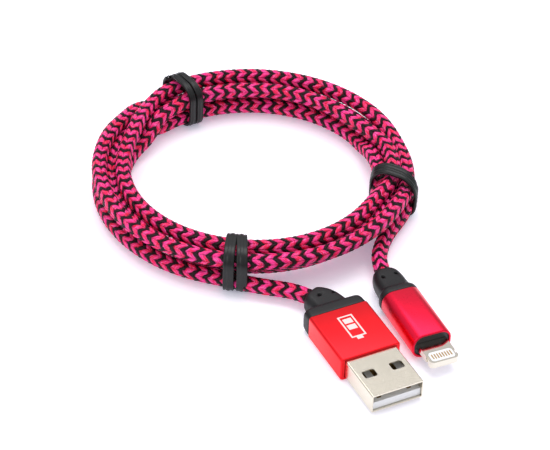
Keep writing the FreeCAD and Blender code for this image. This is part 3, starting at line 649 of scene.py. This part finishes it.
WIRES = {
    "power": worn("insulation_red", (0.65, 0.02, 0.02), 0.35, grain=1200, wander=0.1, depth=0.004),
    "data_minus": worn("insulation_white", (0.80, 0.80, 0.79), 0.35, grain=1200, wander=0.05, depth=0.004),
    "data_plus": worn("insulation_green", (0.03, 0.35, 0.08), 0.35, grain=1200, wander=0.1, depth=0.004),
    "ground": worn("insulation_black", (0.025, 0.025, 0.027), 0.35, grain=1200, wander=0.2, depth=0.004),
}
CAD_FINISH = {
    "wide_plug_shell": NICKEL, "wide_plug_tongue": WHITE, "wide_plug_inner_mould": MOULD,
    "wide_plug_crimp_ring": STEEL, "wide_plug_jacket_end": JACKET, "slim_plug_collar": COLLAR,
    "slim_plug_frame": POLISHED, "slim_plug_contact_block": WHITE, "slim_plug_contacts_top": GOLD,
    "slim_plug_contacts_bottom": GOLD, "slim_plug_circuit_board": BOARD, "slim_plug_chip": CHIP,
    "slim_plug_inner_mould": MOULD, "slim_plug_crimp_ring": STEEL, "slim_plug_jacket_end": JACKET,
}
for line, insulation in WIRES.items():
    CAD_FINISH[f"wide_plug_contact_{line}"] = GOLD
    CAD_FINISH[f"wide_plug_wire_{line}"] = insulation
    CAD_FINISH[f"slim_plug_wire_{line}"] = insulation
for node, material in CAD_FINISH.items():
    wear_cad(node, material)
EDGES = {"wide_plug_shell": 0.07, "slim_plug_frame": 0.08, "wide_plug_tongue": 0.06,
         "slim_plug_contact_block": 0.04}
for node, width in EDGES.items():
    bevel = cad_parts[node].modifiers.new("edges", "BEVEL")
    bevel.width = width * MM
    bevel.segments = 2
    bevel.limit_method = "ANGLE"
    bevel.angle_limit = math.radians(50)
print(len(CAD_FINISH), "engineering solids painted")

# %% [markdown]
# ## A battery pictogram
#
# The wide sleeve carries a small white print. Here it is a plain battery outline with two bars of
# charge, laid a fiftieth of a millimetre thick on the metal. Every bar of it is a thin box.

# %%
PRINT = worn("white_print", (0.84, 0.70, 0.68), 0.5, grain=2500, wander=0.05, depth=0.002)
PRINT_THICK = 0.02


def print_bars(plug, z, bars):
    """Thin boxes lying on the plane z of a plug; each bar is its two ends and its two sides."""
    points, faces = [], []
    for x0, x1, y0, y1 in bars:
        n = len(points)
        foot = ((x0, y0), (x1, y0), (x1, y1), (x0, y1))
        points += [(x, y, z + t) for t in (0.0, PRINT_THICK) for x, y in foot]
        faces += [(n, n + 3, n + 2, n + 1), (n + 4, n + 5, n + 6, n + 7)]
        faces += [(n + k, n + (k + 1) % 4, n + 4 + (k + 1) % 4, n + 4 + k) for k in range(4)]
    return mesh_piece("battery_print", plug.out(points), faces)


LINE = 0.36
BACK_END, FRONT_END, HALF = -12.3, -5.3, 1.75
long_sides = [(BACK_END, FRONT_END, HALF - LINE, HALF), (BACK_END, FRONT_END, -HALF, LINE - HALF)]
short_sides = [(BACK_END, BACK_END + LINE, LINE - HALF, HALF - LINE),
               (FRONT_END - LINE, FRONT_END, LINE - HALF, HALF - LINE)]
cap = [(FRONT_END, FRONT_END + 0.8, -0.7, 0.7)]
charge = [(BACK_END + start, BACK_END + start + 1.5, -1.0, 1.0) for start in (1.0, 3.0)]
print_piece = print_bars(WIDE, WIDE_HEIGHT / 2, long_sides + short_sides + cap + charge)
wear(print_piece, PRINT, "wide_plug")

# %% [markdown]
# ## Twist ties
#
# A tie is a flat strip of black plastic with a thin steel wire in it, wound twice round the coil and
# twisted together. Its line runs round a rounded square that just holds the five strands, and steps
# sideways by its own width at each turn. The strip's section has a raised middle over the wire. A tie
# may lean, and its two turns fan out a little on the outside of the coil.

# %%
TIE = worn("tie_plastic", (0.006, 0.007, 0.007), 0.33, grain=1400, wander=0.25, depth=0.006,
           Specular_IOR_Level=0.36)
TIE_LOW, TIE_FOOT = 0.54, 2.7  # height of the strip's line over the table, and its radius below
TIE_STEPS = 160
FAN = 0.15
WIRE_RADIUS = 0.22
# The strip's section: across and outward.
STRIP = [(-0.95, -0.05), (-0.93, 0.24), (-0.74, 0.40), (-0.50, 0.28), (-0.28, 0.38), (0.0, 0.50),
         (0.28, 0.38), (0.50, 0.28), (0.74, 0.40), (0.93, 0.24), (0.95, -0.05), (0.8, -0.32), (0.4, -0.4),
         (-0.4, -0.4), (-0.8, -0.32)]


def hoop(share, half, high, brow):
    """A point on a rounded upright loop round the bundle, and its outward direction, as (out, up)."""
    radii = (brow, brow, TIE_FOOT, TIE_FOOT)
    upright = high - TIE_LOW - TIE_FOOT - brow
    spans = [upright, math.pi / 2 * brow, 2 * (half - brow), math.pi / 2 * brow,
             upright, math.pi / 2 * TIE_FOOT, 2 * (half - TIE_FOOT), math.pi / 2 * TIE_FOOT]
    way = (share % 1) * sum(spans)
    spot = np.array([half, TIE_LOW + TIE_FOOT])
    heading = math.pi / 2
    for k, span in enumerate(spans):
        step = min(way, span)
        if k % 2 == 0:
            spot = spot + step * np.array([math.cos(heading), math.sin(heading)])
        else:
            round_by = radii[k // 2]
            centre = spot + round_by * np.array([-math.sin(heading), math.cos(heading)])
            heading += step / round_by
            spot = centre + round_by * np.array([math.sin(heading), -math.cos(heading)])
        way -= step
        if way <= 0:
            break
    return spot, np.array([math.sin(heading), -math.cos(heading)])


def wire_rings(line):
    """Rings of a thin round wire along a line."""
    sides, ups = carried_frames(line)
    angle = np.linspace(0, 2 * np.pi, 9)[:-1]
    return [p + WIRE_RADIUS * (np.cos(angle)[:, None] * s + np.sin(angle)[:, None] * u)
            for p, s, u in zip(line, sides, ups)]


def tie(name, degrees, start, ahead, slant, pitch, wide, half, high, brow):
    """Two turns of strip at this angle round the coil; the name is the engineering node's.

    The strip starts at the share `start` of a turn, lies `ahead` along the cord, leans by `slant`, and
    its turns lie `pitch` to each side. Its loop is twice `half` wide, `high` tall, with corners `brow`.
    """
    a = math.radians(degrees)
    out = np.array([math.cos(a), math.sin(a), 0])
    along = np.array([-math.sin(a), math.cos(a), 0])
    up = np.array([0, 0, 1.0])
    centre = coil_radius(a) * out
    rings, core = [], []
    for k in range(TIE_STEPS + 1):
        turn = 2 * k / TIE_STEPS
        spot, normal = hoop(start + turn, half, high, brow)
        fan = 1 + FAN * spot[0] / half
        shift = ahead + pitch * fan * math.tanh((turn - 1) * 6) + slant * spot[0] / half
        middle = centre + out * spot[0] + up * spot[1] + along * shift
        outward = out * normal[0] + up * normal[1]
        rings.append(np.array([middle + along * w * wide + outward * t for w, t in STRIP]))
        core.append(middle)
    piece = loft(f"{name}_strip", rings, sharp=60)
    wear(piece, TIE, "cord")
    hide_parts(name)
    wire = loft(f"{name}_core", wire_rings(np.array(core)), sharp=180)
    wear(wire, STEEL, "cord")
    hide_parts(f"{name}_wire")


tie("front_tie", FRONT_ANGLE, start=0.55, ahead=0.1, slant=0.5, pitch=1.3, wide=1.3, half=5.1, high=10.8,
    brow=3.7)
tie("rear_tie", 119.5, start=0.2, ahead=1.3, slant=0.9, pitch=1.12, wide=0.92, half=5.1, high=11.2,
    brow=3.5)
tie("side_tie", -7.0, start=0.1, ahead=-0.2, slant=-1.8, pitch=1.05, wide=1.1, half=5.2, high=10.7,
    brow=4.2)

# %% [markdown]
# ## The table, the light and the camera
#
# The cable lies on a white sweep that glows faintly lavender of itself, as on a light table: a painted
# glow that lifts and tints the shadows, so they stay pale. Above it is a white room that gets darker
# towards the horizon, with a large soft box overhead and a smaller one from the front left.

# %%
sweep = bpy.data.meshes.new("sweep")
sweep.from_pydata([(-2, -2, 0), (2, -2, 0), (2, 2, 0), (-2, 2, 0)], [], [(0, 1, 2, 3)])
floor = bpy.data.objects.new("white_sweep", sweep)
bpy.context.scene.collection.objects.link(floor)
paper = Paint("white_paper_painted_glow")
# The emission is a painted lavender glow of the paper that lifts the shadows on the sweep.
paper.set(Base_Color=paper.mix(paper.noise(6.0), (0.93, 0.93, 0.94), (0.96, 0.96, 0.97)), Roughness=0.7,
          Emission_Color=(0.80, 0.80, 1.0), Emission_Strength=0.32)
floor.data.materials.append(paper.material)

world = bpy.data.worlds.new("white_room")
bpy.context.scene.world = world
world.use_nodes = True
nodes, links = world.node_tree.nodes, world.node_tree.links
direction = nodes.new("ShaderNodeSeparateXYZ")
links.new(nodes.new("ShaderNodeTexCoord").outputs["Generated"], direction.inputs[0])
height = nodes.new("ShaderNodeMapRange")
links.new(direction.outputs["Z"], height.inputs["Value"])
for key, value in (("From Min", 0.05), ("From Max", 0.5), ("To Min", 0.22), ("To Max", 0.78)):
    height.inputs[key].default_value = value
links.new(height.outputs[0], nodes["Background"].inputs["Strength"])
nodes["Background"].inputs["Color"].default_value = (0.97, 0.96, 1.0, 1)


def soft_box(name, place, width, height, power):
    """A rectangular lamp that faces the middle of the coil."""
    light = bpy.data.lights.new(name, "AREA")
    light.shape = "RECTANGLE"
    light.size, light.size_y = width, height
    light.energy = power
    lamp = bpy.data.objects.new(name, light)
    lamp.location = place
    lamp.rotation_euler = (-Vector(place)).to_track_quat("-Z", "Y").to_euler()
    bpy.context.scene.collection.objects.link(lamp)


soft_box("overhead_box", (0.0, 0.25, 0.9), width=0.9, height=0.7, power=5.6)
soft_box("left_box", (-0.7, -0.45, 0.5), width=0.5, height=0.5, power=1.6)

CAMERA_PLACE = (5.560, -389.158, 296.992)
LENS = 137.83
TILT, ROLL = math.radians(38.224), 0.036
camera = bpy.data.objects.new("camera", bpy.data.cameras.new("camera"))
bpy.context.scene.collection.objects.link(camera)
right0 = Vector((1, 0, 0))
up0 = Vector((0, math.sin(TILT), math.cos(TILT)))
ahead = Vector((0, math.cos(TILT), -math.sin(TILT)))
right = right0 * math.cos(ROLL) + up0 * math.sin(ROLL)
up = up0 * math.cos(ROLL) - right0 * math.sin(ROLL)
turned = Matrix((right, up, -ahead)).transposed().to_4x4()
camera.matrix_world = Matrix.Translation(Vector(CAMERA_PLACE) * MM) @ turned
camera.data.lens = LENS
camera.data.sensor_width = 36
camera.data.clip_start = 0.01
bpy.context.scene.camera = camera
bpy.context.scene.view_settings.view_transform = "Standard"
